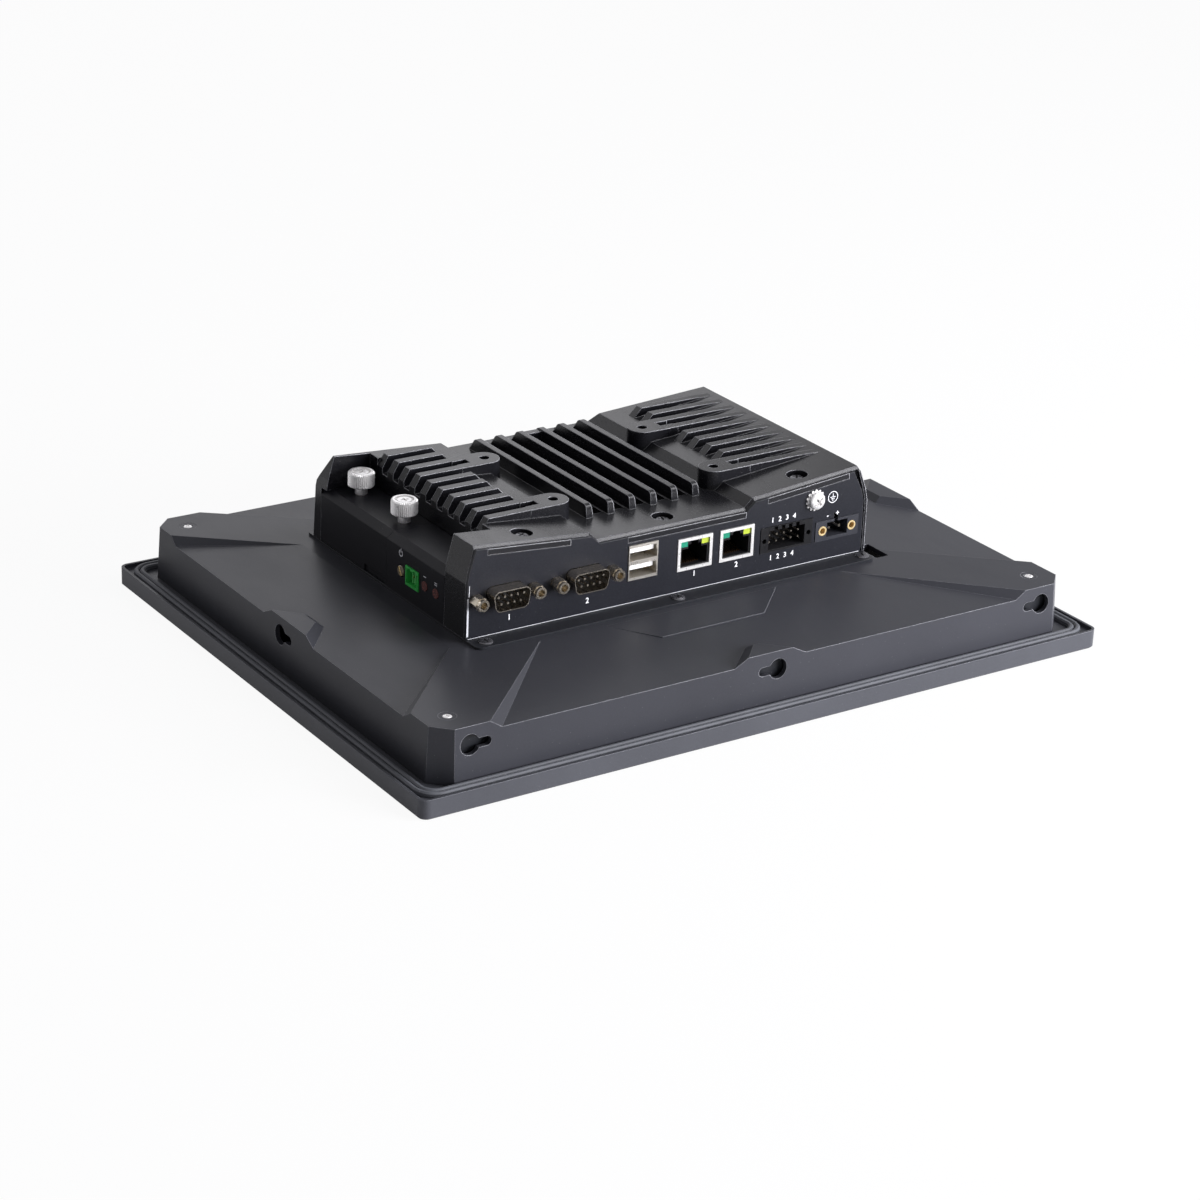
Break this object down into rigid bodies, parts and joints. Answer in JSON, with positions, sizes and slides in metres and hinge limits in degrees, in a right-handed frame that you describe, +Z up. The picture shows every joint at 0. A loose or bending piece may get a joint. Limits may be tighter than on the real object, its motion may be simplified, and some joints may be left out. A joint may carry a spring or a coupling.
{
  "type": "panel computer",
  "caption": "Fanless panel computer lying on its screen: bezel with gasket, dished rear cover and a finned cast computer module with connectors, side panel and storage cover.",
  "frame": {"origin": "middle of the front face, which rests on the table", "axes": "+X runs right along the connector face, +Y away from it, +Z up from the screen to the fins"},
  "size_m": [0.3106, 0.2414, 0.0651],
  "materials": {
    "bezel_coat": "satin powder coat",
    "cover_coat": "satin powder coat",
    "casting_coat": "satin black powder coat",
    "plate_coat": "fine textured coat",
    "side_coat": "fine textured black coat",
    "tray_coat": "satin",
    "screen_glass": "gloss",
    "display_body": "matte",
    "sheet_steel": "satin zinc",
    "gasket_rubber": "matte",
    "black_screw": "black oxide",
    "bright_screw": "nickel plated",
    "shell_nickel": "nickel plated",
    "jack_shield": "bright tin",
    "black_moulding": "matte",
    "grey_moulding": "matte",
    "white_moulding": "matte",
    "green_moulding": "matte",
    "contact_gold": "gold plated",
    "insert_brass": "bare",
    "lamp_green": "clear tint",
    "lamp_amber": "clear tint",
    "lamp_red": "clear tint",
    "button_plastic": "satin",
    "board_green": "solder mask",
    "chip_black": "matte",
    "thermal_grey": "matte",
    "cell_steel": "bright"
  },
  "bodies": {
    "housing": {"front_bezel": "bezel_coat", "touch_glass": "screen_glass", "display_panel": "display_body", "display_frame": "sheet_steel", "panel_gasket": "gasket_rubber", "rear_cover": "cover_coat", "rear_cover_screws": "bright_screw", "base_tray": "tray_coat", "flange_screws": "black_screw", "base_screws": "black_screw", "heat_sink": "casting_coat", "deck_screws": "black_screw", "io_plate": "plate_coat", "com_shells": "shell_nickel", "com_mouldings": "black_moulding", "com_pins": "bright_screw", "com_jackscrews": "bright_screw", "usb_shield": "jack_shield", "usb_tongues": "white_moulding", "usb_contacts": "contact_gold", "lan_shields": "jack_shield", "lan_mouldings": "black_moulding", "lan_contacts": "contact_gold", "lan_green_lamps": "lamp_green", "lan_amber_lamps": "lamp_amber", "signal_header": "black_moulding", "signal_pins": "bright_screw", "supply_header": "grey_moulding", "supply_inserts": "insert_brass", "supply_pins": "contact_gold", "star_washer": "bright_screw", "ground_screw": "bright_screw", "side_panel": "side_coat", "storage_cover": "side_coat", "storage_thumbscrews": "bright_screw", "storage_bracket": "sheet_steel", "storage_card": "black_moulding", "storage_socket": "black_moulding", "main_board": "board_green", "board_standoffs": "insert_brass", "board_screws": "bright_screw", "processor": "chip_black", "thermal_pad": "thermal_grey", "memory_socket": "black_moulding", "memory_module": "board_green", "cell_holder": "black_moulding", "coin_cell": "cell_steel", "power_chokes": "chip_black", "capacitors": "cell_steel", "remote_terminal": "green_moulding", "remote_pins": "contact_gold", "power_switch": "black_moulding", "status_lamps": "lamp_red", "lamp_holder": "black_moulding", "interface_board": "board_green", "docking_header": "black_moulding", "docking_receptacle": "black_moulding", "backlight_board": "board_green", "board_spacers": "insert_brass"},
    "power_button": {"power_button": "button_plastic"}
  },
  "joints": [
    {"name": "power_button_press", "type": "slide", "parent": "housing", "child": "power_button", "axis": [1, 0, 0], "range_m": [0, 0.0004], "stiffness_N_per_m": 800}
  ]
}
